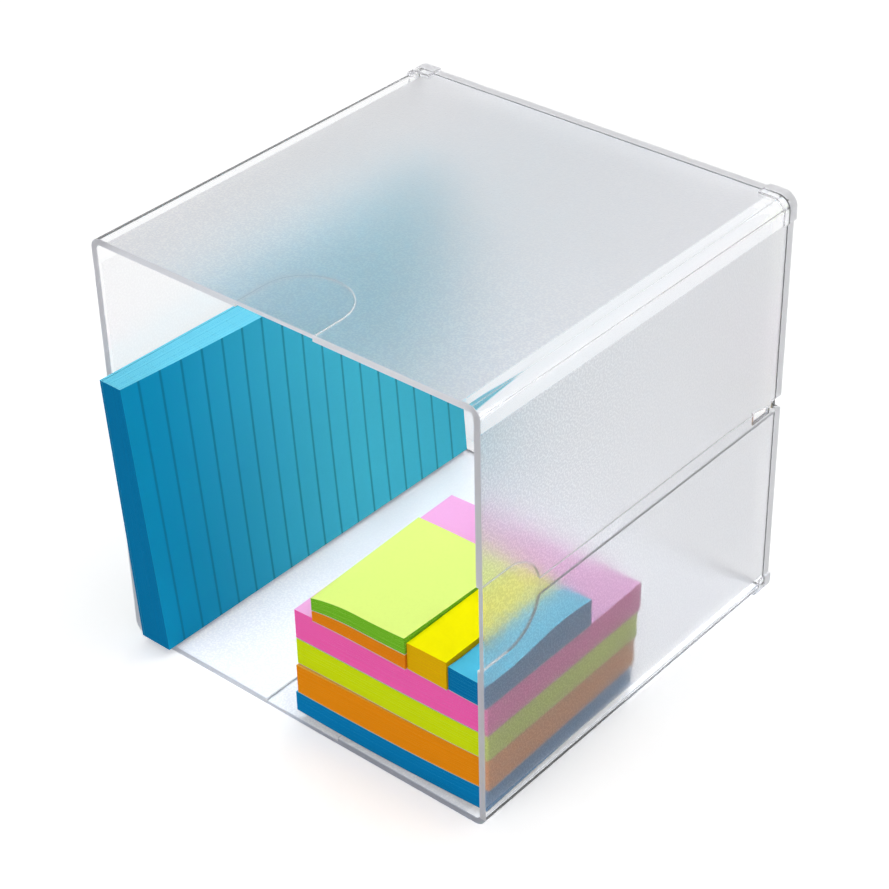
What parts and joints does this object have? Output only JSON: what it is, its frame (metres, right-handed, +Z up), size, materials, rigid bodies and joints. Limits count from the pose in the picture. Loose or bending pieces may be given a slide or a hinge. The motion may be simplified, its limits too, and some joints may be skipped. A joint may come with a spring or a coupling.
{
  "type": "memo pad holder",
  "caption": "Clear open-front desk cube with frosted walls, thumb recesses and shelf grooves, holding a leaning lined pad and a stack of sticky note pads that slide out.",
  "frame": {"origin": "middle of the cube's base face, at the surface it stands on", "axes": "+Z up, +Y towards the closed back, the open front faces -Y, +X right as seen from the front"},
  "size_m": [0.1542, 0.1575, 0.1533],
  "materials": {
    "clear_styrene": "clear moulded polystyrene: fine pebble frosting in the middle of each wall, smooth margins",
    "lined_pad_sheets": "stacked uncoated coloured paper",
    "lined_pad_card": "grey-brown backing card",
    "blue_pad_sheets": "stacked uncoated coloured paper",
    "orange_pad_sheets": "stacked uncoated coloured paper",
    "lime_pad_sheets": "stacked uncoated coloured paper",
    "pink_pad_sheets": "stacked uncoated coloured paper",
    "small_orange_pad_sheets": "stacked uncoated coloured paper",
    "small_green_pad_sheets": "stacked uncoated coloured paper",
    "yellow_flags_sheets": "stacked uncoated coloured paper",
    "blue_flags_sheets": "stacked uncoated coloured paper",
    "liner_paper": "pale release paper under each sticky pad"
  },
  "bodies": {
    "cube": {"cube_sleeve": "clear_styrene", "back_panel": "clear_styrene"},
    "lined_pad": {"lined_pad_sheets": "lined_pad_sheets", "lined_pad_card": "lined_pad_card"},
    "blue_pad": {"blue_pad_sheets": "blue_pad_sheets", "blue_pad_liner": "liner_paper"},
    "orange_pad": {"orange_pad_sheets": "orange_pad_sheets", "orange_pad_liner": "liner_paper"},
    "lime_pad": {"lime_pad_sheets": "lime_pad_sheets", "lime_pad_liner": "liner_paper"},
    "pink_pad": {"pink_pad_sheets": "pink_pad_sheets", "pink_pad_liner": "liner_paper"},
    "small_orange_pad": {"small_orange_pad_sheets": "small_orange_pad_sheets", "small_orange_pad_liner": "liner_paper"},
    "small_green_pad": {"small_green_pad_sheets": "small_green_pad_sheets", "small_green_pad_liner": "liner_paper"},
    "yellow_flags": {"yellow_flags_sheets": "yellow_flags_sheets", "yellow_flags_liner": "liner_paper"},
    "blue_flags": {"blue_flags_sheets": "blue_flags_sheets", "blue_flags_liner": "liner_paper"}
  },
  "joints": [
    {"name": "lined_pad_slide", "type": "slide", "parent": "cube", "child": "lined_pad", "axis": [0, -1, 0], "range_m": [0, 0.155]},
    {"name": "blue_pad_slide", "type": "slide", "parent": "cube", "child": "blue_pad", "axis": [0, -1, 0], "range_m": [0, 0.084]},
    {"name": "orange_pad_slide", "type": "slide", "parent": "cube", "child": "orange_pad", "axis": [0, -1, 0], "range_m": [0, 0.084]},
    {"name": "lime_pad_slide", "type": "slide", "parent": "cube", "child": "lime_pad", "axis": [0, -1, 0], "range_m": [0, 0.084]},
    {"name": "pink_pad_slide", "type": "slide", "parent": "cube", "child": "pink_pad", "axis": [0, -1, 0], "range_m": [0, 0.084]},
    {"name": "small_orange_pad_slide", "type": "slide", "parent": "cube", "child": "small_orange_pad", "axis": [0, -1, 0], "range_m": [0, 0.057]},
    {"name": "small_green_pad_slide", "type": "slide", "parent": "cube", "child": "small_green_pad", "axis": [0, -1, 0], "range_m": [0, 0.057]},
    {"name": "yellow_flags_slide", "type": "slide", "parent": "cube", "child": "yellow_flags", "axis": [0, -1, 0], "range_m": [0, 0.057]},
    {"name": "blue_flags_slide", "type": "slide", "parent": "cube", "child": "blue_flags", "axis": [0, -1, 0], "range_m": [0, 0.057]}
  ]
}
